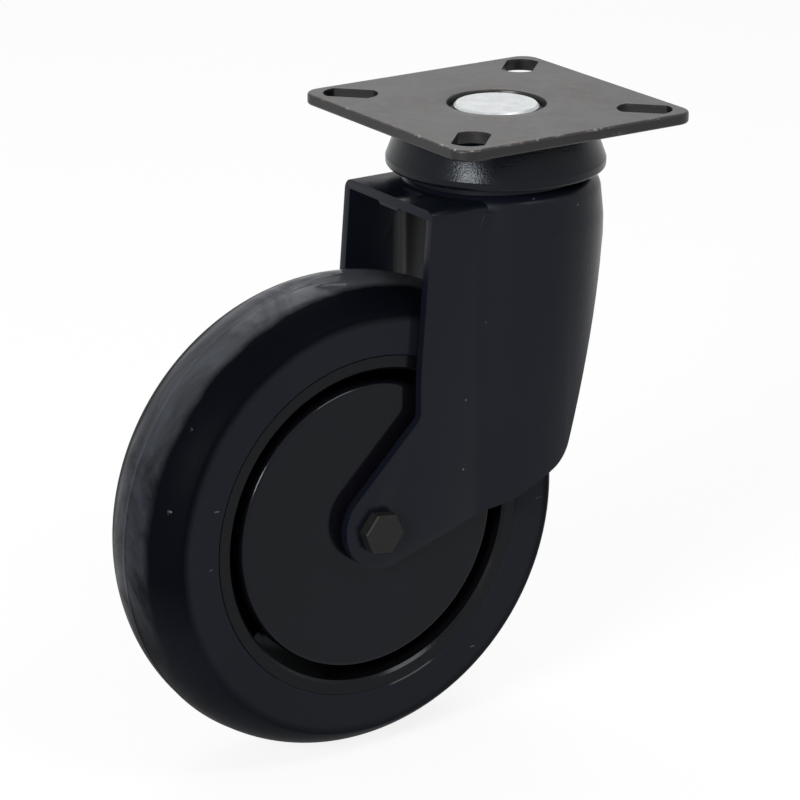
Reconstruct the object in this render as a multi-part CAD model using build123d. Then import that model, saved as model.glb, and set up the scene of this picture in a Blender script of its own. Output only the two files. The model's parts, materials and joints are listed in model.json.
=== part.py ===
from build123d import *
import math
import os

# Swivel plate castor, in millimetres.
# Origin: centre of the plate's top face, on the swivel axis. +Z is up, the wheel
# trails towards -X, and the near leg with the bolt's head is at -Y.

# wheel
wheel_diameter = 125.0
tyre_width = 32.8
tread_crown_radius = 22.4
tread_shoulder_radius = 2.6
tyre_key_height = 2.2
tyre_key_width = 9.0
tyre_edge_radius = 0.4
core_width = 32.4
core_rim_wall = 3.6
core_rim_corner = 0.7
core_web_thickness = 5.0
core_hub_radius = 15.0
core_rib_count = 8
core_rib_thickness = 2.4
core_rib_width = 12.0
core_fillet = 1.0

# wheel bearings
bearing_bore = 8.0
bearing_outer_diameter = 22.0
bearing_width = 7.0
bearing_face_offset = 13.0
bearing_ball_diameter = 3.8
bearing_ball_count = 7
bearing_inner_land = 12.4
bearing_outer_land = 18.2
bearing_shoulder_height = 2.0
bearing_shield_thickness = 0.4
bearing_shield_inset = 0.3
bearing_edge = 0.3
bearing_track_room = 0.15

# thread guards
guard_diameter = 75.4
guard_face_offset = 15.4
guard_thickness = 1.8
guard_gap = 3.5
guard_rim_depth = 4.4
guard_edge_radius = 1.2
guard_boss_radius = 6.2

# fork
wheel_trail = 48.8
axle_drop = 100.2
fork_width = 39.2
fork_sheet = 2.4
fork_top_drop = 19.6
mouth_reach = 33.0
leg_front_reach = 36.1
leg_front_drop = 62.0
leg_front_radius = 30.0
leg_kink_drop = 72.8
leg_kink_radius = 3.0
lobe_radius = 11.2
lobe_shift_x = 1.6
lobe_shift_z = 0.8
lobe_middle_angle = 40.0
channel_edge_radius = 2.8
head_radius = 26.8
head_centre_x = 1.2
head_drop = 17.9
head_taper = 1.2
head_taper_drop = 29.0
head_taper_radius = 20.0
head_shoulder_radius = 4.5
head_blend_radius = 8.0
head_blend_start = 22.0
head_blend_fade = 3.0
back_drop = 31.0
back_shoulder_x = 20.9
back_shoulder_drop = 33.3
back_shoulder_radius = 6.0
heel_x = 4.0
heel_drop = 88.9
heel_radius = 12.0
belly_x = -14.0
belly_drop = 100.7
belly_radius = 60.0
web_groove_width = 9.6
web_groove_depth = 0.9
web_groove_slope = 1.2

# swivel head
crown_radius = 23.0
crown_drop = 10.8
crown_bore = 18.0
crown_edge_radius = 2.6
upper_ball_diameter = 5.6
upper_ball_circle = 40.8
upper_ball_count = 20
lower_ball_diameter = 4.8
lower_ball_circle = 31.0
lower_ball_count = 17
ball_clearance = 0.2

# top plate
plate_side = 72.2
plate_thickness = 3.0
plate_corner_radius = 5.0
plate_edge_radius = 0.7
slot_length = 14.2
slot_width = 8.4
slot_end_radius = 5.6
slot_corner_inset = 13.25
dish_depth = 2.4
dish_floor_radius = 12.3
dish_lip_width = 0.5
dish_lip_drop = 0.35
dish_blend = 5.0
dish_lip_radius = 0.3

# upper race cup
cup_sheet = 1.8
cup_bore_gap = 0.4
cup_rim_radius = 28.2
cup_rim_height = 13.2
cup_rim_lip = 2.2
cup_shoulder_radius = 24.1
cup_shoulder_bend = 3.0
cup_rim_bend = 0.85

# king pin
pin_head_diameter = 21.9
pin_head_drop = 0.5
pin_head_bevel = 0.6
pin_body_diameter = 15.0
pin_neck_diameter = 12.0
pin_hole_clearance = 0.1
pin_peen_diameter = 18.0
pin_peen_height = 2.6

# lower race cup
lower_cup_radius = 19.8
lower_cup_sheet = 2.0
lower_cup_lip_width = 1.6
lower_cup_lip_height = 1.6

# axle
axle_diameter = 6.0
axle_hole_clearance = 0.2
tube_clearance = 0.05
hex_width = 10.0
bolt_head_height = 3.2
nut_height = 4.6
nut_collar_height = 1.6
nut_insert_height = 1.3
axle_end_reach = 1.4
hex_bevel = 0.35
hex_turn = -8.0
nut_collar_inset = 0.5
nut_collar_wall = 0.7

# how near an edge has to lie to be picked for a fillet
slack = 0.01

# worked out from the sizes above
wheel_radius = wheel_diameter / 2
core_recess_radius = guard_diameter / 2 + guard_gap
tyre_bond_radius = core_recess_radius + core_rim_wall
half_fork = fork_width / 2
half_inner = half_fork - fork_sheet
fork_top_z = -fork_top_drop
head_top_z = -head_drop
crown_top_z = -crown_drop
slot_circle_radius = plate_side / math.sqrt(2) - slot_corner_inset
plate_under_z = -plate_thickness
dish_floor_z = -dish_depth
dish_under_z = -dish_depth - plate_thickness
cup_top_inner_z = plate_under_z - cup_sheet
upper_ball_z = (cup_top_inner_z + crown_top_z) / 2
crown_under_z = crown_top_z - fork_sheet
lower_ball_z = crown_under_z - ball_clearance - lower_ball_diameter / 2
lower_cup_top_z = lower_ball_z - lower_ball_diameter / 2 - ball_clearance
lower_cup_under_z = lower_cup_top_z - lower_cup_sheet
axle_radius = axle_diameter / 2
lobe_centre = (lobe_shift_x - wheel_trail, lobe_shift_z - axle_drop)
NEAR = 1
FAR = -1


def turned(points):
    """A solid of revolution about Z from its outline of (radius, height) points."""
    outline = Polyline(*[(radius, 0, height) for radius, height in points], close=True)
    return revolve(make_face(outline), Axis.Z, 360)


def on_axle(shape, side=NEAR):
    """Puts a shape turned about Z on the wheel's axis, with its +Z outward on that side."""
    return Pos(-wheel_trail, 0, -axle_drop) * (Rot(X=90 * side) * shape)


def ball_ring(count, circle_radius, ball_radius, height):
    """Separate balls spaced evenly on a circle."""
    balls = [
        Rot(Z=360 * index / count) * (Pos(circle_radius, 0, height) * Sphere(ball_radius))
        for index in range(count)
    ]
    return Compound(children=balls)


def tangent_point(point, centre, radius, side):
    """Where a line from a point touches a circle, on the side given by +1 or -1."""
    across = point[0] - centre[0]
    along = point[1] - centre[1]
    reach = math.hypot(across, along)
    angle = math.atan2(along, across) + side * math.acos(radius / reach)
    return (centre[0] + radius * math.cos(angle), centre[1] + radius * math.sin(angle))


def slot_tool():
    """One fixing slot with flat sides and shallow round ends, along X, through the plate."""
    end_offset = slot_length / 2 - slot_end_radius
    side_reach = end_offset + math.sqrt(slot_end_radius**2 - (slot_width / 2) ** 2)
    half = slot_width / 2
    outline = [
        Line((-side_reach, half), (side_reach, half)),
        ThreePointArc((side_reach, half), (slot_length / 2, 0), (side_reach, -half)),
        Line((side_reach, -half), (-side_reach, -half)),
        ThreePointArc((-side_reach, -half), (-slot_length / 2, 0), (-side_reach, half)),
    ]
    face = make_face(Wire(outline))
    return extrude(face, amount=4 * plate_thickness, both=True)


def top_plate():
    """Rolled plate with a dish pressed into its middle for the king pin's head."""
    dish_outer = dish_floor_radius + dish_blend
    dish_lip = dish_floor_radius + dish_lip_width
    plate = Box(plate_side, plate_side, plate_thickness, align=(Align.CENTER, Align.CENTER, Align.MAX))
    plate = fillet(plate.edges().filter_by(Axis.Z), plate_corner_radius)
    faces = plate.faces().sort_by(Axis.Z)
    plate = fillet(faces[0].edges() + faces[-1].edges(), plate_edge_radius)
    plate += turned([
        (0, plate_under_z),
        (dish_outer - dish_lip_width, plate_under_z),
        (dish_floor_radius + dish_lip_width, dish_under_z),
        (0, dish_under_z),
    ])
    roll = TangentArc((dish_outer, 0, 0), (dish_lip, 0, -dish_lip_drop), tangent=(-1, 0, 0))
    rest = Polyline((dish_lip, 0, -dish_lip_drop), (dish_floor_radius, 0, dish_floor_z), (0, 0, dish_floor_z),
                    (0, 0, plate_thickness), (dish_outer, 0, plate_thickness), (dish_outer, 0, 0))
    plate -= revolve(make_face(Wire([roll] + rest.edges())), Axis.Z, 360)
    circles = plate.edges().filter_by(GeomType.CIRCLE)
    lip_edge = circles.filter_by_position(Axis.Z, -dish_lip_drop - slack, -dish_lip_drop + slack)
    plate = fillet(lip_edge, dish_lip_radius)
    plate -= Cylinder(pin_neck_diameter / 2 + pin_hole_clearance, 6 * plate_thickness)
    for quarter in range(4):
        angle = 45 + 90 * quarter
        plate -= Rot(Z=angle) * (Pos(slot_circle_radius, 0, 0) * slot_tool())
    return plate


def upper_race_cup():
    """Pressed cup under the plate: a flat ring, then a wall that flares to an upright lip."""
    bore = dish_floor_radius + dish_blend + cup_bore_gap
    rim_z = plate_under_z - cup_rim_height
    lip_z = rim_z + cup_rim_lip
    slope = math.atan2(cup_rim_radius - cup_shoulder_radius, plate_under_z - lip_z)
    wall_shift = cup_sheet / math.cos(slope)
    cup = turned([
        (bore, plate_under_z),
        (cup_shoulder_radius, plate_under_z),
        (cup_rim_radius, lip_z),
        (cup_rim_radius, rim_z),
        (cup_rim_radius - cup_sheet, rim_z),
        (cup_rim_radius - cup_sheet, lip_z + cup_sheet * math.tan(slope / 2)),
        (cup_shoulder_radius - wall_shift + cup_sheet * math.tan(slope), cup_top_inner_z),
        (bore, cup_top_inner_z),
    ])
    circles = cup.edges().filter_by(GeomType.CIRCLE)
    outer_bend = circles.filter_by_position(Axis.Z, plate_under_z - slack, plate_under_z + slack)
    cup = fillet([outer_bend.sort_by(SortBy.LENGTH)[-1]], cup_shoulder_bend)
    circles = cup.edges().filter_by(GeomType.CIRCLE)
    rim = circles.filter_by_position(Axis.Z, rim_z - slack, rim_z + slack)
    return fillet(rim, cup_rim_bend)


def king_pin():
    """Flat-headed rivet: head in the plate's dish, a shouldered body, and a peened lower end."""
    pin_head_radius = pin_head_diameter / 2
    head_z = -pin_head_drop
    neck = pin_neck_diameter / 2
    body = pin_body_diameter / 2
    peen = pin_peen_diameter / 2
    peen_z = lower_cup_under_z - pin_peen_height
    return turned([
        (0, head_z),
        (pin_head_radius - pin_head_bevel, head_z),
        (pin_head_radius, head_z - pin_head_bevel),
        (pin_head_radius, dish_floor_z),
        (neck, dish_floor_z),
        (neck, dish_under_z),
        (body, dish_under_z),
        (body, lower_cup_top_z),
        (neck, lower_cup_top_z),
        (neck, lower_cup_under_z),
        (peen, lower_cup_under_z),
        (peen - pin_peen_height / 2, peen_z),
        (0, peen_z),
    ])


def lower_race_cup():
    """Dished washer that the peened end holds up under the lower balls."""
    bore = pin_neck_diameter / 2 + pin_hole_clearance
    lip_inner = lower_cup_radius - lower_cup_lip_width
    lip_z = lower_cup_top_z + lower_cup_lip_height
    return turned([
        (bore, lower_cup_under_z),
        (lower_cup_radius, lower_cup_under_z),
        (lower_cup_radius, lip_z),
        (lip_inner, lip_z),
        (lip_inner, lower_cup_top_z),
        (bore, lower_cup_top_z),
    ])


def leg_profile():
    """The fork's outline seen from the side, as one face, drawn in X and Z."""
    kink = (-leg_front_reach, -leg_kink_drop)
    belly = (belly_x, -belly_drop)
    front_touch = tangent_point(kink, lobe_centre, lobe_radius, 1)
    belly_touch = tangent_point(belly, lobe_centre, lobe_radius, -1)
    lobe_angle = math.radians(lobe_middle_angle)
    lobe_middle = (lobe_centre[0] - lobe_radius * math.cos(lobe_angle),
                   lobe_centre[1] - lobe_radius * math.sin(lobe_angle))
    far_x = head_centre_x + 2 * head_radius
    corners = [
        belly_touch,
        belly,
        (heel_x, -heel_drop),
        (back_shoulder_x, -back_shoulder_drop),
        (far_x, -back_drop),
        (far_x, plate_thickness),
        (-mouth_reach, plate_thickness),
        (-mouth_reach, fork_top_z),
        (-leg_front_reach, -leg_front_drop),
        kink,
        front_touch,
    ]
    radii = [belly_radius, heel_radius, back_shoulder_radius, 0, 0, 0, leg_front_radius, leg_front_radius,
             leg_kink_radius]
    rounded = FilletPolyline(*corners, radius=radii)
    lobe = ThreePointArc(front_touch, lobe_middle, belly_touch)
    face = make_face(Wire(rounded.edges() + lobe.edges()))
    return Plane.XZ * face


def channel_form(inset, depth):
    """The straight folded part that carries the legs, with rounded folds along its top."""
    top_z = fork_top_z - inset
    front_x = -wheel_trail - 2 * lobe_radius
    channel = Pos((front_x + head_centre_x) / 2, 0, top_z) * Box(
        head_centre_x - front_x, 2 * (half_fork - inset), depth, align=(Align.CENTER, Align.CENTER, Align.MAX)
    )
    top_edges = channel.edges().filter_by(Axis.X).filter_by_position(Axis.Z, top_z - slack, top_z + slack)
    return fillet(top_edges, channel_edge_radius - inset)


def head_form(inset, depth):
    """The round head: a barrel that tapers a little to its rounded shoulder."""
    radius = head_radius - inset
    top_z = head_top_z - inset
    head = turned([
        (0, -depth),
        (radius, -depth),
        (radius, -head_taper_drop),
        (radius - head_taper, top_z),
        (0, top_z),
    ])
    shoulder = head.edges().filter_by(GeomType.CIRCLE).sort_by(Axis.Z)[-1]
    head = fillet([shoulder], head_shoulder_radius - inset)
    circles = head.edges().filter_by(GeomType.CIRCLE)
    taper_edge = circles.filter_by_position(Axis.Z, -head_taper_drop - slack, -head_taper_drop + slack)
    return Pos(head_centre_x, 0, 0) * fillet(taper_edge, head_taper_radius)


def blend_section(radius, inset, height):
    """The soft bend's cross-section at one height, against a head of that radius."""
    half = half_fork - inset
    bend = head_blend_radius + inset
    bend_y = half + bend
    bend_x = head_centre_x - math.sqrt((radius + bend) ** 2 - bend_y**2)
    reach = radius / (radius + bend)
    touch = (head_centre_x + (bend_x - head_centre_x) * reach, bend_y * reach)
    middle_angle = (math.atan2(touch[1] - bend_y, touch[0] - bend_x) - math.pi / 2) / 2
    middle = (bend_x + bend * math.cos(middle_angle), bend_y + bend * math.sin(middle_angle))
    outline = [
        ThreePointArc((bend_x, half), middle, touch),
        Polyline(touch, (touch[0], half / 2), (bend_x, half / 2), (bend_x, half)),
    ]
    section = make_face(Wire([edge for piece in outline for edge in piece.edges()]))
    return Pos(0, 0, height) * section


def blend_form(inset, depth):
    """Fills the hollow corner between leg and head with a soft bend that follows the head's taper."""
    radius = head_radius - inset
    low = extrude(blend_section(radius, inset, -depth), amount=depth - head_taper_drop)
    high = loft([
        blend_section(radius, inset, -head_taper_drop),
        blend_section(radius - head_taper, inset, head_top_z - inset),
    ])
    outer = radius + head_blend_radius + inset
    top_z = -head_blend_start - inset
    fade = turned([
        (0, -depth),
        (outer, -depth),
        (outer, top_z - head_blend_fade * (outer - radius)),
        (radius, top_z),
        (0, top_z),
    ])
    wedge = (low + high) & (Pos(head_centre_x, 0, 0) * fade)
    return wedge + mirror(wedge, Plane.XZ)


def shell_form(inset):
    """The fork's outside form, or with the sheet as the inset its inside form, before the side cut."""
    depth = axle_drop + 2 * lobe_radius
    return channel_form(inset, depth) + head_form(inset, depth) + blend_form(inset, depth)


def crown_form(inset):
    """The raised round crown that the ball races run on, or its hollow underside."""
    top_z = crown_top_z - inset
    radius = crown_radius - inset
    foot_z = head_top_z - fork_sheet - inset
    crown = Pos(0, 0, foot_z) * Cylinder(
        radius, top_z - foot_z, align=(Align.CENTER, Align.CENTER, Align.MIN)
    )
    rim = crown.edges().filter_by(GeomType.CIRCLE).sort_by(Axis.Z)[-1]
    return fillet([rim], crown_edge_radius - inset)


def groove_form(drop):
    """The shallow bead pressed along the top web, drop millimetres below its top face."""
    half = web_groove_width / 2
    top_z = fork_top_z - drop
    outline = Polyline(
        (0, -half, top_z + web_groove_depth),
        (0, -half, top_z),
        (0, -half + web_groove_slope, top_z - web_groove_depth),
        (0, half - web_groove_slope, top_z - web_groove_depth),
        (0, half, top_z),
        (0, half, top_z + web_groove_depth),
        close=True,
    )
    length = mouth_reach + head_centre_x - head_radius
    return Pos(-mouth_reach, 0, 0) * extrude(make_face(outline), amount=length, dir=(1, 0, 0))


def fork():
    """One stamped sheet: crown, top web, two legs and the back."""
    side_cut = extrude(leg_profile(), amount=fork_width, both=True)
    inside = shell_form(fork_sheet)
    bead_under = groove_form(fork_sheet) & (shell_form(0) & side_cut)
    body = shell_form(0) - inside
    body = (body & side_cut) + bead_under
    body = body - groove_form(0)
    body = body + crown_form(0)
    body = body - crown_form(fork_sheet)
    body = body - Cylinder(crown_bore / 2, 4 * crown_drop)
    hole = on_axle(Cylinder(axle_radius + axle_hole_clearance, 2 * fork_width))
    return body - hole


def bevelled_hexagon(width, height):
    """A hexagonal prism on the axis, standing on its base, with its top edges bevelled."""
    prism = extrude(RegularPolygon(width / 2, 6, major_radius=False), amount=height)
    prism = chamfer(prism.faces().sort_by(Axis.Z)[-1].edges(), hex_bevel)
    return Rot(Z=hex_turn) * prism


def axle_bolt():
    """Head outside the near leg, plain shank through to the far side."""
    head = Pos(0, 0, half_fork) * bevelled_hexagon(hex_width, bolt_head_height)
    end = half_fork + nut_height + nut_collar_height + axle_end_reach
    shank = Cylinder(axle_radius, half_fork + end, align=(Align.CENTER, Align.CENTER, Align.MIN))
    shank = chamfer(shank.edges().filter_by(GeomType.CIRCLE).sort_by(Axis.Z)[0], axle_radius / 6)
    return on_axle(head + Pos(0, 0, -end) * shank)


def axle_nut():
    """Locking nut on the far leg: a hexagon and a thin collar round its insert."""
    collar_radius = hex_width / 2 - nut_collar_inset
    nut = Pos(0, 0, half_fork) * bevelled_hexagon(hex_width, nut_height)
    nut += Pos(0, 0, half_fork + nut_height) * Cylinder(
        collar_radius, nut_collar_height, align=(Align.CENTER, Align.CENTER, Align.MIN)
    )
    nut -= Pos(0, 0, half_fork) * Cylinder(axle_radius, 4 * nut_height)
    pocket = Pos(0, 0, half_fork + nut_height + nut_collar_height - nut_insert_height) * Cylinder(
        collar_radius - nut_collar_wall, nut_insert_height, align=(Align.CENTER, Align.CENTER, Align.MIN)
    )
    return on_axle(nut - pocket, FAR)


def nut_insert():
    """The nylon ring that locks the nut on the bolt."""
    radius = hex_width / 2 - nut_collar_inset - nut_collar_wall
    ring = Cylinder(radius, nut_insert_height, align=(Align.CENTER, Align.CENTER, Align.MIN))
    ring -= Cylinder(axle_radius, 4 * nut_insert_height)
    return on_axle(Pos(0, 0, half_fork + nut_height + nut_collar_height - nut_insert_height) * ring, FAR)


def spacer_tube():
    """Steel tube that the bolt clamps between the legs and the bearings sit on."""
    tube = Cylinder(bearing_bore / 2, 2 * half_inner) - Cylinder(axle_radius + tube_clearance, 2 * fork_width)
    return on_axle(tube)


def thread_guard(side):
    """Round cover between leg and wheel: a disc with a returned rim and a clamped boss."""
    radius = guard_diameter / 2
    face = guard_face_offset
    bore = bearing_bore / 2 + tube_clearance
    guard = turned([
        (bore, bearing_face_offset),
        (guard_boss_radius, bearing_face_offset),
        (guard_boss_radius, face - guard_thickness),
        (radius - guard_thickness, face - guard_thickness),
        (radius - guard_thickness, face - guard_rim_depth),
        (radius, face - guard_rim_depth),
        (radius, face),
        (guard_boss_radius, face),
        (guard_boss_radius, half_inner),
        (bore, half_inner),
    ])
    rim = guard.edges().filter_by(GeomType.CIRCLE).filter_by_position(Axis.Z, face - slack, face + slack)
    return on_axle(fillet([rim.sort_by(SortBy.LENGTH)[-1]], guard_edge_radius), side)


def wheel_core():
    """Moulded centre: hub, web, ribs and rim, with a recess for a guard on each side."""
    half = core_width / 2
    hub_half = bearing_face_offset
    rim_half_web = core_web_thickness / 2
    seat = bearing_outer_diameter / 2
    shoulder = seat - bearing_shoulder_height
    seat_z = bearing_face_offset - bearing_width
    key = tyre_key_width / 2
    core = turned([
        (shoulder, -seat_z), (seat, -seat_z), (seat, -hub_half), (core_hub_radius, -hub_half),
        (core_hub_radius, -rim_half_web), (core_recess_radius, -rim_half_web), (core_recess_radius, -half),
        (tyre_bond_radius, -half), (tyre_bond_radius, -key), (tyre_bond_radius + tyre_key_height, -key),
        (tyre_bond_radius + tyre_key_height, key), (tyre_bond_radius, key), (tyre_bond_radius, half),
        (core_recess_radius, half), (core_recess_radius, rim_half_web), (core_hub_radius, rim_half_web),
        (core_hub_radius, hub_half), (seat, hub_half), (seat, seat_z), (shoulder, seat_z),
    ])
    rim_edges = core.edges().filter_by(GeomType.CIRCLE).filter_by(
        lambda edge: abs(abs(edge.center().Z) - half) < slack and edge.radius < core_recess_radius + slack)
    core = chamfer(rim_edges, core_rim_corner)
    rib_length = core_recess_radius - core_hub_radius + 2 * core_fillet
    rib = Pos(core_hub_radius - core_fillet, 0, 0) * Box(
        rib_length, core_rib_thickness, core_rib_width, align=(Align.MIN, Align.CENTER, Align.CENTER)
    )
    for index in range(core_rib_count):
        core += Rot(Z=360 * index / core_rib_count) * rib
    return on_axle(core)


def tyre():
    """Solid tyre with a crowned tread, bonded over the core's rim and key."""
    half = tyre_width / 2
    key = tyre_key_width / 2
    crown_sag = tread_crown_radius - math.sqrt(tread_crown_radius**2 - half**2)
    shoulder = wheel_radius - crown_sag
    bond = tyre_bond_radius
    outline = [
        Line((bond, 0, -half), (shoulder, 0, -half)),
        ThreePointArc((shoulder, 0, -half), (wheel_radius, 0, 0), (shoulder, 0, half)),
        Polyline((shoulder, 0, half), (bond, 0, half), (bond, 0, key), (bond + tyre_key_height, 0, key),
                 (bond + tyre_key_height, 0, -key), (bond, 0, -key), (bond, 0, -half)),
    ]
    body = revolve(make_face(Wire([edge for piece in outline for edge in piece.edges()])), Axis.Z, 360)
    sides = body.edges().filter_by(GeomType.CIRCLE).filter_by(
        lambda edge: abs(abs(edge.center().Z) - half) < slack)
    shoulders = sides.filter_by(lambda edge: edge.radius > bond + 1)
    body = fillet(shoulders, tread_shoulder_radius)
    inner = body.edges().filter_by(GeomType.CIRCLE).filter_by(
        lambda edge: abs(abs(edge.center().Z) - half) < slack and edge.radius < bond + slack)
    return on_axle(chamfer(inner, tyre_edge_radius))


def race_groove():
    """The ring of a ball track, with running room round the balls."""
    track_radius = bearing_ball_diameter / 2 + bearing_track_room
    track = Torus((bearing_inner_land + bearing_outer_land) / 4, track_radius)
    return Pos(0, 0, bearing_face_offset - bearing_width / 2) * track


def bearing_inner_race(side):
    low = bearing_face_offset - bearing_width
    ring = turned([(bearing_bore / 2, low), (bearing_inner_land / 2, low),
                   (bearing_inner_land / 2, bearing_face_offset), (bearing_bore / 2, bearing_face_offset)])
    return on_axle(ring - race_groove(), side)


def bearing_outer_race(side):
    low = bearing_face_offset - bearing_width
    outer = bearing_outer_diameter / 2
    ring = turned([(bearing_outer_land / 2, low), (outer, low),
                   (outer, bearing_face_offset), (bearing_outer_land / 2, bearing_face_offset)])
    ring = chamfer(ring.edges().filter_by(GeomType.CIRCLE).filter_by(
        lambda edge: edge.radius > outer - slack), bearing_edge)
    return on_axle(ring - race_groove(), side)


def bearing_balls(side):
    middle = bearing_face_offset - bearing_width / 2
    balls = ball_ring(bearing_ball_count, (bearing_inner_land + bearing_outer_land) / 4,
                      bearing_ball_diameter / 2, middle)
    return on_axle(balls, side)


def bearing_shields(side):
    """Two thin steel rings that close a bearing, fixed in its outer race."""
    inner = bearing_inner_land / 2 + bearing_shield_inset
    outer = bearing_outer_land / 2
    rings = []
    for low in (bearing_face_offset - bearing_width + bearing_shield_inset,
                bearing_face_offset - bearing_shield_inset - bearing_shield_thickness):
        high = low + bearing_shield_thickness
        rings.append(turned([(inner, low), (outer, low), (outer, high), (inner, high)]))
    return on_axle(Compound(children=rings), side)


parts = {
    "top_plate": top_plate(),
    "upper_race_cup": upper_race_cup(),
    "king_pin": king_pin(),
    "upper_balls": ball_ring(upper_ball_count, upper_ball_circle / 2, upper_ball_diameter / 2, upper_ball_z),
    "lower_balls": ball_ring(lower_ball_count, lower_ball_circle / 2, lower_ball_diameter / 2, lower_ball_z),
    "lower_race_cup": lower_race_cup(),
    "fork": fork(),
    "axle_bolt": axle_bolt(),
    "axle_nut": axle_nut(),
    "nut_insert": nut_insert(),
    "spacer_tube": spacer_tube(),
    "wheel_core": wheel_core(),
    "tyre": tyre(),
}
for side, word in ((NEAR, "near"), (FAR, "far")):
    parts["thread_guard_" + word] = thread_guard(side)
    parts["bearing_inner_race_" + word] = bearing_inner_race(side)
    parts["bearing_outer_race_" + word] = bearing_outer_race(side)
    parts["bearing_balls_" + word] = bearing_balls(side)
    parts["bearing_shields_" + word] = bearing_shields(side)

os.makedirs("parts", exist_ok=True)
for name, shape in parts.items():
    export_step(shape, "parts/" + name + ".step")
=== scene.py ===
import json
import math

import bmesh
import bpy
from mathutils import Matrix, Vector


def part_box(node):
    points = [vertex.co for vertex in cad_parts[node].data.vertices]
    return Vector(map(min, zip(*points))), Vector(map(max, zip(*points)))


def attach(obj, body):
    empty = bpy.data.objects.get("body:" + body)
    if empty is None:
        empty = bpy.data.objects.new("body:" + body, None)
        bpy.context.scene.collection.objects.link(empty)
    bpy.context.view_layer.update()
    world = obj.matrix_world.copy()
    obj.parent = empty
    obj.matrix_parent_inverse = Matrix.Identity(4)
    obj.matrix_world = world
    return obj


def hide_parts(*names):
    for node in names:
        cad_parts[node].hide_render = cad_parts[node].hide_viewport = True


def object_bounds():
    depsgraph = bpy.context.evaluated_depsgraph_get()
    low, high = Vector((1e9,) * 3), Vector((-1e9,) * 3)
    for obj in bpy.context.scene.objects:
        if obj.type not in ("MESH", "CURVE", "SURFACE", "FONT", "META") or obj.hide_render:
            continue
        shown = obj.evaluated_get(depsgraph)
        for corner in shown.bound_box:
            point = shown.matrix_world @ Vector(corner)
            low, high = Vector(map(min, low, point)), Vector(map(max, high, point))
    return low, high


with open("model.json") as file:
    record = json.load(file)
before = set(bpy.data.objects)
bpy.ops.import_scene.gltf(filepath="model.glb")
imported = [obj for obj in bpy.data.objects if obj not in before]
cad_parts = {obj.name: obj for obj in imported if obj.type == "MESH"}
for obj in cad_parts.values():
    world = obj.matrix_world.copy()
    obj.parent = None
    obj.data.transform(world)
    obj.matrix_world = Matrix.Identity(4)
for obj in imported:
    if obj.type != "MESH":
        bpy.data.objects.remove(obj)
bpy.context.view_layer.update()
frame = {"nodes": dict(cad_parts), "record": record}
scene = bpy.context.scene
print("frame loaded:", len(frame["nodes"]), "nodes")


class Wire:
    # one output socket; arithmetic on it adds Math nodes
    def __init__(self, graph, socket):
        self.graph = graph
        self.socket = socket

    def maths(self, operation, *values):
        return self.graph.add("ShaderNodeMath", {"operation": operation}, values)

    def __add__(self, other):
        return self.maths("ADD", self, other)

    def __sub__(self, other):
        return self.maths("SUBTRACT", self, other)

    def __rsub__(self, other):
        return self.maths("SUBTRACT", other, self)

    def __mul__(self, other):
        return self.maths("MULTIPLY", self, other)

    def __truediv__(self, other):
        return self.maths("DIVIDE", self, other)

    def __rtruediv__(self, other):
        return self.maths("DIVIDE", other, self)

    def __gt__(self, other):
        return self.maths("GREATER_THAN", self, other)

    def __lt__(self, other):
        return self.maths("LESS_THAN", self, other)

    def __abs__(self):
        return self.maths("ABSOLUTE", self)

    __radd__ = __add__
    __rmul__ = __mul__

    def larger(self, other):
        return self.maths("MAXIMUM", self, other)

    def floored(self):
        return self.maths("FLOOR", self)

    def root(self):
        return self.maths("SQRT", self)

    def sine(self):
        return self.maths("SINE", self)

    def cosine(self):
        return self.maths("COSINE", self)

    def arcsine(self):
        return self.maths("ARCSINE", self)


class Graph:
    # a node tree that is filled from Python values and wires
    def __init__(self, tree):
        self.tree = tree

    def link(self, value, target):
        if isinstance(value, Wire):
            self.tree.links.new(value.socket, target)
        else:
            target.default_value = value

    def add(self, kind, settings=None, values=(), out=0):
        # gives one output of the new node, or the node itself where out is None
        node = self.tree.nodes.new(kind)
        for key, value in (settings or {}).items():
            setattr(node, key, value)
        pairs = values.items() if isinstance(values, dict) else enumerate(values)
        for key, value in pairs:
            self.link(value, node.inputs[key])
        return node if out is None else Wire(self, node.outputs[out])

    def parts(self, vector):
        split = self.add("ShaderNodeSeparateXYZ", {}, [vector], out=None)
        return [Wire(self, output) for output in split.outputs]


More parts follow.
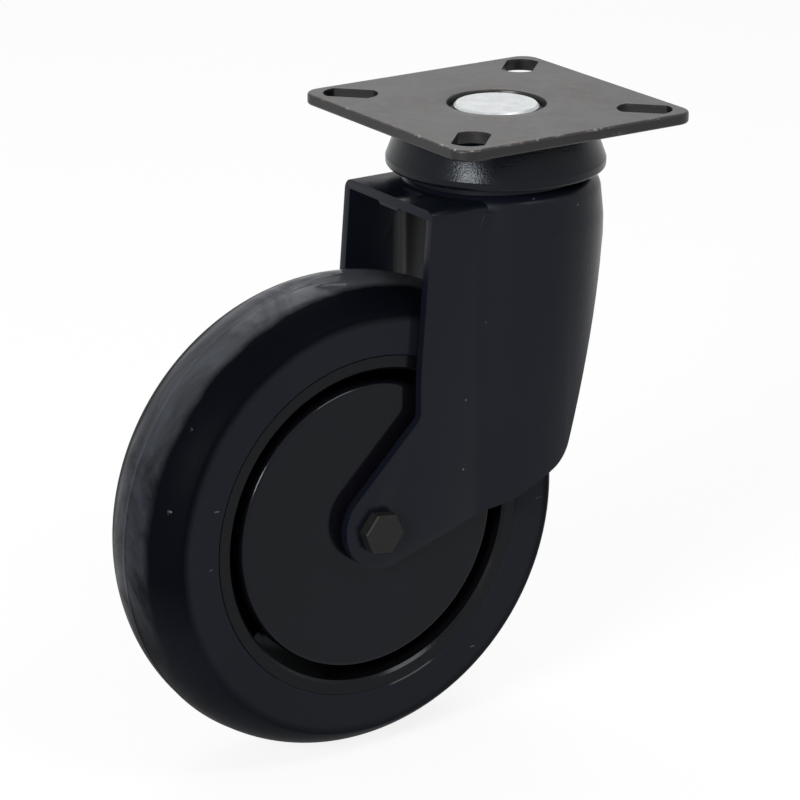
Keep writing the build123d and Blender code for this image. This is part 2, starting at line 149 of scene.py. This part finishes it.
class Paint(Graph):
    # a material whose patterns are read from Object coordinates
    def __init__(self, name, gloss):
        self.material = bpy.data.materials.new(name)
        self.material.use_nodes = True
        super().__init__(self.material.node_tree)
        self.tree.nodes.clear()
        self.surface = self.add("ShaderNodeBsdfPrincipled", out=None)
        self.add("ShaderNodeOutputMaterial", {}, [Wire(self, self.surface.outputs[0])], out=None)
        self.where = self.add("ShaderNodeTexCoord", out="Object")
        self.finish(gloss)

    def placed(self, scale, turn):
        return self.add("ShaderNodeMapping", {}, {"Vector": self.where, "Scale": scale, "Rotation": turn})

    def noise(self, pattern, vector=None, swirl=0.0):
        # pattern is (scale, detail, roughness)
        scale, detail, roughness = pattern
        values = {"Vector": vector or self.where, "Scale": scale, "Detail": detail,
                  "Roughness": roughness, "Distortion": swirl}
        return self.add("ShaderNodeTexNoise", {}, values)

    def specks(self, scale, size):
        spots = self.add("ShaderNodeTexVoronoi", {}, {"Vector": self.where, "Scale": scale})
        return self.band(spots, (size, size / 2))

    def band(self, value, limits):
        # 0 up to the first limit, 1 from the second on, also where the second is the smaller
        return self.add("ShaderNodeMapRange", {}, {0: value, 1: limits[0], 2: limits[1], 3: 0.0, 4: 1.0})

    def mixed(self, factor, first, second):
        # 6, 7 and 2 are the node's colour sockets
        return self.add("ShaderNodeMix", {"data_type": "RGBA"}, {0: factor, 6: first, 7: second}, out=2)

    def bump(self, height, look):
        values = {"Strength": look["relief"], "Distance": look["reliefDepth"], "Height": height}
        return self.add("ShaderNodeBump", {}, values)

    def finish(self, values):
        for key, value in values.items():
            self.link(value, self.surface.inputs[key])
        return self.material


noiseMiddle = 0.5


def tone(value, red=1.0, green=1.0, blue=1.0):
    return (value * red, value * green, value * blue, 1)


plateFinish = {
    "gloss": {"IOR": 1.45, "Specular IOR Level": 0.5, "Specular Tint": (1.0, 0.96, 0.95, 1)},
    "deepBlack": tone(0.0035, 1.1, 1.0, 1.0),
    "paleBlack": tone(0.009, 1.1, 1.0, 0.95),
    # painted shade: a darker black on the plate's sides than on its top
    "paintedSideShade": tone(0.0025, 0.85, 1.0, 1.3),
    "bronze": (0.060, 0.042, 0.030, 1),
    "bareSteel": tone(0.20, 1.0, 0.98, 0.96),
    "finePattern": (1100, 4, 0.6),
    "broadPattern": (60, 4, 0.6),
    "rubPattern": (85, 5, 0.65),
    "rubSwirl": 1.2,
    "bronzePattern": (330, 3, 0.6),
    "bronzeGrains": (0.50, 0.72),
    "bronzePatches": (0.42, 0.60),
    "bronzeShare": 0.7,
    # where the painted shade on the sides starts
    "paintedSideShadeStart": 0.0006,  # metres under the face
    "rimDepth": 0.0004,
    "rimWidth": (0.0012, 0.0007),  # metres in from the edge
    "rubbedOff": (0.54, 0.62),
    "chipGrains": (0.47, 0.62),
    "streakPattern": (55, 4, 0.6),
    "streakStretch": (0.25, 3.0, 1),
    "streakTurn": (0, 0, 0.1),
    "streaks": (0.66, 0.70),
    "streakGrains": (0.5, 0.65),
    "streakShare": 0.35,
    "roughness": 0.20,
    "broadRoughness": 0.26,
    "rubRoughness": 0.12,
    "fineRelief": 0.5,
    "rubRelief": 0.5,
    "relief": 0.22,
    "reliefDepth": 0.0003,
}


def platePaint():
    look = plateFinish
    paint = Paint("platePaint", look["gloss"])
    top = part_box("top_plate")[1]
    x, y, z = paint.parts(paint.where)
    fine = paint.noise(look["finePattern"])
    broad = paint.noise(look["broadPattern"])
    rub = paint.noise(look["rubPattern"], swirl=look["rubSwirl"])
    grains = paint.noise(look["bronzePattern"])
    bronze = paint.band(grains, look["bronzeGrains"]) * paint.band(broad, look["bronzePatches"])
    colour = paint.mixed(broad, look["deepBlack"], look["paleBlack"])
    colour = paint.mixed(bronze * look["bronzeShare"], colour, look["bronze"])
    # painted shade on the sides under the top face
    colour = paint.mixed(z < top.z - look["paintedSideShadeStart"], colour, look["paintedSideShade"])
    inset = top.x - abs(x).larger(abs(y))
    rim = paint.band(inset, look["rimWidth"]) * (z > top.z - look["rimDepth"])
    chips = rim * paint.band(rub, look["rubbedOff"]) * paint.band(fine, look["chipGrains"])
    streak = paint.noise(look["streakPattern"], paint.placed(look["streakStretch"], look["streakTurn"]))
    scratches = paint.band(streak, look["streaks"]) * paint.band(fine, look["streakGrains"])
    colour = paint.mixed(chips.larger(scratches * look["streakShare"]), colour, look["bareSteel"])
    roughness = look["roughness"] + broad * look["broadRoughness"] + rub * look["rubRoughness"]
    normal = paint.bump(fine * look["fineRelief"] + rub * look["rubRelief"], look)
    return paint.finish({"Base Color": colour, "Roughness": roughness, "Normal": normal})


cupFinish = {
    "gloss": {"IOR": 1.45, "Specular IOR Level": 0.20, "Specular Tint": (0.88, 0.94, 1.0, 1)},
    "deepBlack": tone(0.002, 0.7, 1.0, 1.7),
    "paleBlack": tone(0.004, 0.75, 1.0, 1.6),
    "peelPattern": (1800, 2, 0.6),
    "broadPattern": (45, 2, 0.5),
    "roughness": 0.22,
    "peelRoughness": 0.06,
    "relief": 0.32,
    "reliefDepth": 0.0002,
}


def cupPaint():
    look = cupFinish
    paint = Paint("cupPaint", look["gloss"])
    peel = paint.noise(look["peelPattern"])
    colour = paint.mixed(paint.noise(look["broadPattern"]), look["deepBlack"], look["paleBlack"])
    roughness = look["roughness"] + peel * look["peelRoughness"]
    return paint.finish({"Base Color": colour, "Roughness": roughness, "Normal": paint.bump(peel, look)})


forkFinish = {
    "gloss": {"IOR": 1.45, "Specular IOR Level": 0.16},
    "deepBlack": tone(0.0035, 0.75, 1.0, 1.9),
    "paleBlack": tone(0.0060, 0.80, 1.0, 1.8),
    "dust": tone(0.12),
    "peelPattern": (520, 3, 0.5),
    "broadPattern": (22, 3, 0.55),
    "dustPattern": (60, 2, 0.5),
    "dustPatches": (0.5, 0.6),
    "dustShare": 0.8,
    "speckScale": 150,
    "speckSize": 0.05,
    "roughness": 0.22,
    "broadRoughness": 0.10,
    "peelRoughness": 0.05,
    "relief": 0.12,
    "reliefDepth": 0.0003,
}


def forkPaint():
    look = forkFinish
    paint = Paint("forkPaint", look["gloss"])
    peel = paint.noise(look["peelPattern"])
    broad = paint.noise(look["broadPattern"])
    colour = paint.mixed(broad, look["deepBlack"], look["paleBlack"])
    patches = paint.band(paint.noise(look["dustPattern"]), look["dustPatches"])
    dust = paint.specks(look["speckScale"], look["speckSize"]) * patches
    colour = paint.mixed(dust * look["dustShare"], colour, look["dust"])
    roughness = look["roughness"] + broad * look["broadRoughness"] + peel * look["peelRoughness"]
    return paint.finish({"Base Color": colour, "Roughness": roughness, "Normal": paint.bump(peel, look)})


zincFinish = {
    "gloss": {"Metallic": 1.0},
    "dull": tone(0.36, 0.97, 1.0, 1.02),
    "bright": tone(0.60, 0.97, 1.0, 1.01),
    "polished": tone(0.74, 0.98, 1.0, 1.01),
    "mottlePattern": (300, 4, 0.6),
    "mottleSwirl": 0.8,
    "cloudPattern": (120, 3, 0.6),
    "polishPatches": (0.55, 0.62),
    "polishShare": 0.5,
    "finePattern": (1500, 3, 0.6),
    "roughness": 0.34,
    "polishRoughness": 0.14,
    "mottleRoughness": 0.1,
    "mottleRelief": 0.6,
    "fineRelief": 0.4,
    "relief": 0.25,
    "reliefDepth": 0.0003,
}


def zincPlate():
    look = zincFinish
    paint = Paint("zincPlate", look["gloss"])
    mottle = paint.noise(look["mottlePattern"], swirl=look["mottleSwirl"])
    fine = paint.noise(look["finePattern"])
    polish = paint.band(paint.noise(look["cloudPattern"]), look["polishPatches"])
    colour = paint.mixed(mottle, look["dull"], look["bright"])
    colour = paint.mixed(polish * look["polishShare"], colour, look["polished"])
    roughness = look["roughness"] - polish * look["polishRoughness"] + mottle * look["mottleRoughness"]
    normal = paint.bump(mottle * look["mottleRelief"] + fine * look["fineRelief"], look)
    return paint.finish({"Base Color": colour, "Roughness": roughness, "Normal": normal})


darkSteelFinish = {
    "gloss": {"IOR": 1.45, "Specular IOR Level": 0.2},
    "deep": tone(0.004, 1.06, 1.0, 0.95),
    "pale": tone(0.011, 1.06, 1.0, 0.94),
    "mottlePattern": (420, 4, 0.6),
    "roughness": 0.38,
    "mottleRoughness": 0.15,
    "relief": 0.15,
    "reliefDepth": 0.0002,
}


def darkSteel():
    look = darkSteelFinish
    paint = Paint("darkSteel", look["gloss"])
    mottle = paint.noise(look["mottlePattern"])
    colour = paint.mixed(mottle, look["deep"], look["pale"])
    roughness = look["roughness"] + mottle * look["mottleRoughness"]
    return paint.finish({"Base Color": colour, "Roughness": roughness, "Normal": paint.bump(mottle, look)})


guardFinish = {
    "gloss": {"IOR": 1.45, "Specular IOR Level": 0.18, "Specular Tint": (0.86, 0.95, 1.0, 1)},
    "deepBlack": tone(0.0015, 1.0, 1.0, 1.3),
    "paleBlack": tone(0.0040, 1.0, 1.0, 1.6),
    "hazePattern": (30, 3, 0.6),
    "grainPattern": (1600, 2, 0.5),
    "roughness": 0.10,
    "hazeRoughness": 0.08,
    "relief": 0.03,
    "reliefDepth": 0.0001,
}


def guardPlastic():
    look = guardFinish
    paint = Paint("guardPlastic", look["gloss"])
    haze = paint.noise(look["hazePattern"])
    grain = paint.noise(look["grainPattern"])
    colour = paint.mixed(haze, look["deepBlack"], look["paleBlack"])
    roughness = look["roughness"] + haze * look["hazeRoughness"]
    return paint.finish({"Base Color": colour, "Roughness": roughness, "Normal": paint.bump(grain, look)})


coreFinish = {
    "gloss": {"IOR": 1.45, "Specular IOR Level": 0.16, "Specular Tint": (0.86, 0.95, 1.0, 1)},
    "deepBlack": tone(0.0015, 1.0, 1.0, 1.3),
    "paleBlack": tone(0.0035, 1.0, 1.0, 1.3),
    "grainPattern": (1200, 2, 0.5),
    "roughness": 0.16,
    "grainRoughness": 0.06,
    "relief": 0.05,
    "reliefDepth": 0.0001,
}


def corePlastic():
    look = coreFinish
    paint = Paint("corePlastic", look["gloss"])
    grain = paint.noise(look["grainPattern"])
    colour = paint.mixed(grain, look["deepBlack"], look["paleBlack"])
    roughness = look["roughness"] + grain * look["grainRoughness"]
    return paint.finish({"Base Color": colour, "Roughness": roughness, "Normal": paint.bump(grain, look)})


tyreFinish = {
    "gloss": {"IOR": 1.06, "Coat IOR": 1.2, "Coat Roughness": 0.10, "Coat Tint": (0.84, 0.91, 1.0, 1)},
    # painted dark reflection: near black round the shoulders
    "paintedDarkReflection": tone(0.0020, 0.75, 1.0, 1.7),
    "deepHaze": tone(0.004, 0.80, 1.0, 1.45),
    "paleHaze": tone(0.010, 0.84, 1.0, 1.35),
    "deepDust": tone(0.001, 0.7, 1.0, 1.9),
    "paleDust": tone(0.024, 0.92, 1.0, 1.20),
    # painted highlight: a pale grey over the top of the tread, smeared like dust
    "paintedTopLight": tone(0.085, 1.0, 1.0, 1.04),
    # painted shade: near black along the bottom of the tyre
    "paintedLowShade": tone(0.002, 0.9, 1.0, 1.2),
    "scuffs": tone(0.16),
    "treadBorder": (0.0066, 0.0088),  # metres from the middle of the tread
    "sideBorder": (0.0532, 0.0552),  # metres from the axle
    # the band of painted shade along the bottom
    "paintedLowShadeHeights": (-0.004, -0.026),  # metres above the axle
    # metres above the axle where the painted highlight over the top fades in
    "paintedTopLightHeights": (0.018, 0.052),
    "borderWobble": 0.0022,
    "sideWobbleShare": 0.3,
    "smearPattern": (34, 6, 0.68),
    "smearSwirl": 1.6,
    "cloudPattern": (90, 4, 0.6),
    "finePattern": (1000, 3, 0.5),
    "hazePattern": (14, 3, 0.5),
    "dustPatches": (0.36, 0.66),
    # shares of the painted highlight over the top
    "paintedTopLightShare": 0.10,
    "paintedTopLightSmearShare": 0.55,
    # share of the painted shade along the bottom, and of haze where the painted shoulder reflection stops
    "paintedLowBandShare": 0.7,
    "lowHazeShare": 0.4,
    "lowCloudShare": 0.8,
    "speckScale": 75,
    "speckSize": 0.045,
    "speckPatches": (0.54, 0.60),
    "strokePattern": (230, 3, 0.6),
    "strokeStretch": (0.30, 1.0, 1.6),
    "strokeTurn": (0.3, 0.9, 0.2),
    "strokes": (0.715, 0.745),
    "strokePatches": (0.50, 0.58),
    "scuffShare": 0.7,
    "roughness": 0.45,
    "sidePolish": 0.75,
    "treadPolish": (0.25, 0.75),
    "cloudRelief": 0.5,
    "fineRelief": 0.1,
    "relief": 0.12,
    "reliefDepth": 0.0004,
}


def tyreRubber():
    # dull and smudged on the tread and hazed on the side, with a painted dark reflection round the
    # shoulders, a painted highlight over the top and painted shade along the bottom
    look = tyreFinish
    paint = Paint("tyreRubber", look["gloss"])
    low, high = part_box("tyre")
    middle = (low + high) / 2
    x, y, z = paint.parts(paint.where)
    x, z, width = x - middle.x, z - middle.z, abs(y)
    radius = (x * x + z * z).root()
    smear = paint.noise(look["smearPattern"], swirl=look["smearSwirl"])
    cloud = paint.noise(look["cloudPattern"])
    fine = paint.noise(look["finePattern"])
    haze = paint.noise(look["hazePattern"])
    wobble = (cloud - noiseMiddle) * look["borderWobble"]
    tread = 1 - paint.band(width + wobble, look["treadBorder"])
    side = 1 - paint.band(radius + wobble * look["sideWobbleShare"], look["sideBorder"])
    # painted shade along the bottom
    paintedLowBand = paint.band(z, look["paintedLowShadeHeights"])
    # painted highlight over the top
    paintedTopBand = paint.band(z, look["paintedTopLightHeights"])

    hazed = paint.mixed(haze, look["deepHaze"], look["paleHaze"])
    dustLightAndShade = paint.mixed(paint.band(smear, look["dustPatches"]), look["deepDust"], look["paleDust"])
    # dust on the tread, then a painted highlight over the top mixed into it
    paintedTopBandShare = paintedTopBand * (look["paintedTopLightShare"] + smear * look["paintedTopLightSmearShare"])
    dustLightAndShade = paint.mixed(paintedTopBandShare, dustLightAndShade, look["paintedTopLight"])
    # painted shade along the bottom
    dustLightAndShade = paint.mixed(paintedLowBand * look["paintedLowBandShare"], dustLightAndShade, look["paintedLowShade"])
    # round the shoulders a painted dark reflection, which gives way to haze in the painted bottom band
    paintedLowBandShare = paintedLowBand * (look["lowHazeShare"] + cloud * look["lowCloudShare"])
    shoulder = paint.mixed(paintedLowBandShare, look["paintedDarkReflection"], hazed)
    colour = paint.mixed(tread, paint.mixed(side, shoulder, hazed), dustLightAndShade)

    specks = paint.specks(look["speckScale"], look["speckSize"]) * paint.band(cloud, look["speckPatches"])
    strokes = paint.noise(look["strokePattern"], paint.placed(look["strokeStretch"], look["strokeTurn"]))
    strokes = paint.band(strokes, look["strokes"]) * paint.band(cloud, look["strokePatches"])
    colour = paint.mixed(specks.larger(strokes) * look["scuffShare"], colour, look["scuffs"])

    polish = side * look["sidePolish"] + tread * paint.band(smear, look["treadPolish"]) * (1 - paintedLowBand)
    normal = paint.bump(cloud * look["cloudRelief"] * tread + fine * look["fineRelief"], look)
    return paint.finish({"Base Color": colour, "Roughness": look["roughness"], "Coat Weight": polish,
                         "Normal": normal})


bearingFinish = {
    "gloss": {"Metallic": 1.0},
    "dull": tone(0.45),
    "bright": tone(0.60),
    "finePattern": (900, 2, 0.5),
    "roughness": 0.2,
    "fineRoughness": 0.1,
}
nylonFinish = {
    "gloss": {},
    "dull": (0.20, 0.27, 0.42, 1),
    "bright": (0.27, 0.35, 0.50, 1),
    "finePattern": (700, 2, 0.5),
    "roughness": 0.40,
    "fineRoughness": 0.1,
}


def evenFinish(name, look):
    # two shades in one fine pattern, for parts that hardly show
    paint = Paint(name, look["gloss"])
    fine = paint.noise(look["finePattern"])
    colour = paint.mixed(fine, look["dull"], look["bright"])
    roughness = look["roughness"] + fine * look["fineRoughness"]
    return paint.finish({"Base Color": colour, "Roughness": roughness})


finishes = {
    "plate_paint": platePaint(),
    "cup_paint": cupPaint(),
    "fork_paint": forkPaint(),
    "zinc_steel": zincPlate(),
    "bearing_steel": evenFinish("bearingSteel", bearingFinish),
    "dark_steel": darkSteel(),
    "nylon": evenFinish("nylon", nylonFinish),
    "guard_plastic": guardPlastic(),
    "core_plastic": corePlastic(),
    "tyre_rubber": tyreRubber(),
}
for row in frame["record"]["subparts"]:
    mesh = frame["nodes"][row["node"]].data
    mesh.materials.clear()
    mesh.materials.append(finishes[row["material_slot"]])
print("finishes given to the CAD nodes")


mergeSettings = {
    "sheetGap": 0.000002,  # metres, for sheets from node trees and for the CAD mesh
    "finalGap": 0.000001,
}


def newObject(name, data):
    item = bpy.data.objects.new(name, data)
    scene.collection.objects.link(item)
    return item


def bakeModifier(piece, modifier):
    # gives the piece the modifier's result as its plain mesh
    ready = piece.evaluated_get(bpy.context.evaluated_depsgraph_get())
    mesh = bpy.data.meshes.new_from_object(ready)
    piece.modifiers.remove(modifier)
    piece.data = mesh
    return mesh


def closeMesh(mesh, smoothAngle):
    # merges the seams, turns the faces outwards and shades smooth up to an angle
    form = bmesh.new()
    form.from_mesh(mesh)
    bmesh.ops.remove_doubles(form, verts=form.verts, dist=mergeSettings["finalGap"])
    if form.calc_volume(signed=True) < 0:
        bmesh.ops.reverse_faces(form, faces=form.faces)
    openEdges = [edge for edge in form.edges if not edge.is_manifold]
    form.to_mesh(mesh)
    form.free()
    mesh.shade_smooth()
    mesh.set_sharp_from_angle(angle=math.radians(smoothAngle))
    print(mesh.name, "faces:", len(mesh.polygons), "open edges:", len(openEdges))


def chosen(mask, inside, outside):
    # inside where the mask is 1, outside where it is 0
    return inside * mask + outside * (1 - mask)


class FormGraph(Graph):
    # a Geometry Nodes tree with named sizes, baked to a plain mesh
    def __init__(self, name, sizes):
        super().__init__(bpy.data.node_groups.new(name, "GeometryNodeTree"))
        self.name = name
        self.sizes = sizes
        kinds = {float: "NodeSocketFloat", int: "NodeSocketInt"}
        self.tree.interface.new_socket("Geometry", in_out="OUTPUT", socket_type="NodeSocketGeometry")
        for label, value in sizes.items():
            self.tree.interface.new_socket(label, in_out="INPUT", socket_type=kinds[type(value)])
        entry = self.add("NodeGroupInput", out=None)
        self.size = {label: Wire(self, entry.outputs[label]) for label in sizes}

    def ringGrid(self, turns, rows):
        # a sheet of points, with each point's turn and row counted from 0; half a step guards the rounding
        sheet = self.add("GeometryNodeMeshGrid", {}, {"Vertices X": turns + 1, "Vertices Y": rows})
        index = self.add("GeometryNodeInputIndex")
        turn = ((index + 0.5) / rows).floored()
        return sheet, turn, index - turn * rows

    def lathe(self, sheet, share, out, across):
        # the profile (out, across) turned about the Y axis by a share of a full turn
        angle = share * (2 * math.pi)
        place = self.add("ShaderNodeCombineXYZ", {}, [out * angle.cosine(), across, out * angle.sine()])
        shaped = self.add("GeometryNodeSetPosition", {}, {"Geometry": sheet, "Position": place})
        return self.add("GeometryNodeMergeByDistance", {},
                        {"Geometry": shaped, "Distance": mergeSettings["sheetGap"]})

    def bake(self, result, material, middle, smoothAngle=40):
        solid = self.add("GeometryNodeRealizeInstances", {}, [result])
        coated = self.add("GeometryNodeSetMaterial", {}, {"Geometry": solid, "Material": material})
        self.add("NodeGroupOutput", {}, [coated], out=None)
        piece = newObject(self.name, bpy.data.meshes.new(self.name + "Start"))
        modifier = piece.modifiers.new(self.name, "NODES")
        modifier.node_group = self.tree
        for item in self.tree.interface.items_tree:
            if item.in_out == "INPUT":
                modifier[item.identifier] = self.sizes[item.name]
        mesh = bakeModifier(piece, modifier)
        mesh.transform(Matrix.Translation(middle))
        closeMesh(mesh, smoothAngle)
        return piece


tyreSettings = {
    "crownRadius": 0.0224,
    "shoulderRadius": 0.0026,
    "bondRadius": 0.0448,
    "edgeInset": 0.0004,
    "ridgeHeight": 0.00016,  # the mould's parting line
    "ridgeWidth": 0.0006,
    "crownShare": 0.7,  # of the tread's steps; the shoulders have the rest
    "treadSteps": 120,
    "sideRows": 2,  # the side's outer edge and its seat on the core
    "turnSteps": 320,
}


def makeTyre():
    low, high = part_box("tyre")
    sizes = dict(tyreSettings, wheelRadius=(high.x - low.x) / 2, halfWidth=(high.y - low.y) / 2)
    graph = FormGraph("tyreMoulded", sizes)
    size = graph.size
    steps, sideRows, crownShare = size["treadSteps"], size["sideRows"], size["crownShare"]

    # the profile's rows run across the tread, and its last row lies on its first
    lastRow = steps + sideRows * 2 + 1
    sheet, turn, row = graph.ringGrid(size["turnSteps"], lastRow + 1)
    row = row * (row < lastRow - 0.5)
    # -1 to 1 on the tread, and 2 / steps more for each row past it
    spread = (row - sideRows) / steps * 2 - 1
    reach = abs(spread)
    sideways = (row > steps / 2 + sideRows) * 2 - 1
    past = reach > crownShare
    onSide = reach > 1 + 1 / steps
    onEdge = reach > 1 + 3 / steps

    # the crown's arc meets the shoulder's arc where both point the same way
    seat = size["crownRadius"] - size["shoulderRadius"]
    corner = size["halfWidth"] - size["shoulderRadius"]
    bend = (corner / seat).arcsine()
    crownAngle = reach * bend / crownShare
    shoulderAngle = bend + (reach - crownShare) / (1 - crownShare) * (math.pi / 2 - bend)
    angle = chosen(past, shoulderAngle, crownAngle)
    radius = chosen(past, size["shoulderRadius"], size["crownRadius"])
    crownCentre = size["wheelRadius"] - size["ridgeHeight"] - size["crownRadius"]
    centre = crownCentre + seat * bend.cosine() * past
    treadAcross = radius * angle.sine() + corner * past
    ridge = (1 - treadAcross / size["ridgeWidth"]).larger(0)
    treadOut = centre + radius * angle.cosine() + ridge * size["ridgeHeight"]

    sideAcross = size["halfWidth"] - size["edgeInset"] * onEdge
    sideOut = size["bondRadius"] + size["edgeInset"] * (1 - onEdge)
    across = sideways * chosen(onSide, sideAcross, treadAcross)
    out = chosen(onSide, sideOut, treadOut)
    moulded = graph.lathe(sheet, turn / size["turnSteps"], out, across)
    return graph.bake(moulded, finishes["tyre_rubber"], (low + high) / 2)


tyre = makeTyre()
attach(tyre, "wheel")
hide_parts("tyre")
print("tyre moulded")


forkSettings = {
    "flatAngle": 0.6,
    "edgeAngle": 38,
    "edgeRadius": 0.00050,
    "edgeSegments": 3,
    "smoothAngle": 32,
}


def makeFork():
    # the CAD fork with its pressed edges eased
    mesh = frame["nodes"]["fork"].data.copy()
    form = bmesh.new()
    form.from_mesh(mesh)
    bmesh.ops.remove_doubles(form, verts=form.verts, dist=mergeSettings["sheetGap"])
    bmesh.ops.dissolve_limit(form, angle_limit=math.radians(forkSettings["flatAngle"]),
                             verts=form.verts, edges=form.edges)
    form.to_mesh(mesh)
    form.free()
    mesh.name = "forkPressed"
    piece = newObject("forkPressed", mesh)
    bevel = piece.modifiers.new("easedEdges", "BEVEL")
    bevel.width = forkSettings["edgeRadius"]
    bevel.segments = forkSettings["edgeSegments"]
    bevel.limit_method = "ANGLE"
    bevel.angle_limit = math.radians(forkSettings["edgeAngle"])
    bevel.use_clamp_overlap = True
    bevel.miter_outer = "MITER_ARC"
    closeMesh(bakeModifier(piece, bevel), forkSettings["smoothAngle"])
    return piece


fork = makeFork()
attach(fork, "swivel_fork")
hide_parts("fork")
print("fork eased")


threadSettings = {
    "shankRadius": 0.003,
    "pitch": 0.001,
    "ridgeRadius": 0.00028,
    "ridgeSides": 4,
    "stepsPerTurn": 48,
    "endRoom": 0.0003,
}


def makeThread():
    # on the bolt's end, where it stands out of the nut
    bolt, nut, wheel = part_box("axle_bolt"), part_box("axle_nut"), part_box("tyre")
    start = nut[1].y + threadSettings["endRoom"]
    length = bolt[1].y - threadSettings["endRoom"] - start
    graph = FormGraph("boltThread", dict(threadSettings, length=length))
    size = graph.size
    coil = graph.add("GeometryNodeCurveSpiral", {}, {
        "Resolution": size["stepsPerTurn"], "Rotations": size["length"] / size["pitch"],
        "Start Radius": size["shankRadius"], "End Radius": size["shankRadius"], "Height": size["length"]})
    section = graph.add("GeometryNodeCurvePrimitiveCircle", {}, {
        "Resolution": size["ridgeSides"], "Radius": size["ridgeRadius"]})
    ridge = graph.add("GeometryNodeCurveToMesh", {}, {
        "Curve": coil, "Profile Curve": section, "Fill Caps": True})
    turned = graph.add("GeometryNodeTransform", {}, {
        "Geometry": ridge, "Rotation": (-math.pi / 2, 0, 0)})
    centre = (wheel[0] + wheel[1]) / 2
    return graph.bake(turned, finishes["dark_steel"], Vector((centre.x, start, centre.z)))


thread = makeThread()
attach(thread, "swivel_fork")
print("bolt threaded")


floorSettings = {
    "size": 9.0,
    "drop": 0.0002,  # metres under the tyre
    "reflectance": 0.9,
    "glow": 0.86,  # share of it that looks white
}
roomSettings = {"fill": 0.40}


def seenShare(graph):
    # 1 for what the camera, mirrors and clear matter look at, 0 for diffuse light
    camera, glossy, clear = [graph.add("ShaderNodeLightPath", out=label)
                             for label in ("Is Camera Ray", "Is Glossy Ray", "Is Transmission Ray")]
    return camera.larger(glossy).larger(clear)


def makeFloor():
    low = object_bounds()[0]
    half = floorSettings["size"] / 2
    height = low.z - floorSettings["drop"]
    mesh = bpy.data.meshes.new("floor")
    corners = [(-half, -half, height), (half, -half, height), (half, half, height), (-half, half, height)]
    mesh.from_pydata(corners, [], [(0, 1, 2, 3)])
    floor = newObject("floor", mesh)
    material = bpy.data.materials.new("floorPale")
    material.use_nodes = True
    graph = Graph(material.node_tree)
    graph.tree.nodes.clear()
    glow = graph.add("ShaderNodeEmission", {}, {"Color": tone(1.0), "Strength": 1.0})
    pale = graph.add("ShaderNodeBsdfDiffuse", {}, {"Color": tone(floorSettings["reflectance"])})
    mix = graph.add("ShaderNodeMixShader", {}, [seenShare(graph) * floorSettings["glow"], pale, glow])
    graph.add("ShaderNodeOutputMaterial", {}, [mix], out=None)
    mesh.materials.append(material)


def makeRoom():
    world = bpy.data.worlds.new("paleRoom")
    world.use_nodes = True
    scene.world = world
    graph = Graph(world.node_tree)
    graph.tree.nodes.clear()
    fill = roomSettings["fill"]
    strength = seenShare(graph) * (1 - fill) + fill
    room = graph.add("ShaderNodeBackground", {}, {"Color": tone(1.0), "Strength": strength})
    graph.add("ShaderNodeOutputWorld", {}, [room], out=None)


lampAim = Vector((-0.03, 0.0, -0.05))
lampSettings = {
    "windowLeft": {"place": (-0.98, -0.48, 0.36), "width": 0.34, "height": 0.30, "radiance": 36.0},
    "topFront": {"place": (0.13, -0.56, 0.74), "width": 0.40, "height": 0.28, "radiance": 9.0},
    "topBack": {"place": (0.20, 0.72, 0.90), "width": 0.90, "height": 0.60, "radiance": 3.2},
}


def makeLamps():
    for name, lamp in lampSettings.items():
        data = bpy.data.lights.new(name, "AREA")
        data.shape = "RECTANGLE"
        data.size = lamp["width"]
        data.size_y = lamp["height"]
        data.energy = lamp["radiance"] * math.pi * lamp["width"] * lamp["height"]
        item = newObject(name, data)
        item.location = lamp["place"]
        item.rotation_euler = (lampAim - item.location).to_track_quat("-Z", "Y").to_euler()


makeFloor()
makeRoom()
makeLamps()
print("floor, room and lamps made")


cameraSettings = {
    "azimuth": -34.309,
    "elevation": 19.174,
    "roll": 0.315,
    "distance": 0.93633,
    "target": (-0.02915, 0.0, -0.07481),
    "lens": 164.446,
    "sensor": 36.0,
    "near": 0.05,
    "far": 20.0,
}


def makeCamera():
    azimuth, elevation, roll = [math.radians(cameraSettings[key])
                                for key in ("azimuth", "elevation", "roll")]
    target = Vector(cameraSettings["target"])
    outward = Vector((math.cos(elevation) * math.sin(azimuth), -math.cos(elevation) * math.cos(azimuth),
                      math.sin(elevation)))
    data = bpy.data.cameras.new("camera")
    data.lens = cameraSettings["lens"]
    data.sensor_width = cameraSettings["sensor"]
    data.clip_start = cameraSettings["near"]
    data.clip_end = cameraSettings["far"]
    camera = newObject("camera", data)
    place = Matrix.Translation(target + outward * cameraSettings["distance"])
    turn = (-outward).to_track_quat("-Z", "Y").to_matrix().to_4x4()
    camera.matrix_world = place @ turn @ Matrix.Rotation(roll, 4, "Z")
    scene.camera = camera


makeCamera()
print("camera placed")
scene.view_settings.view_transform = "Standard"
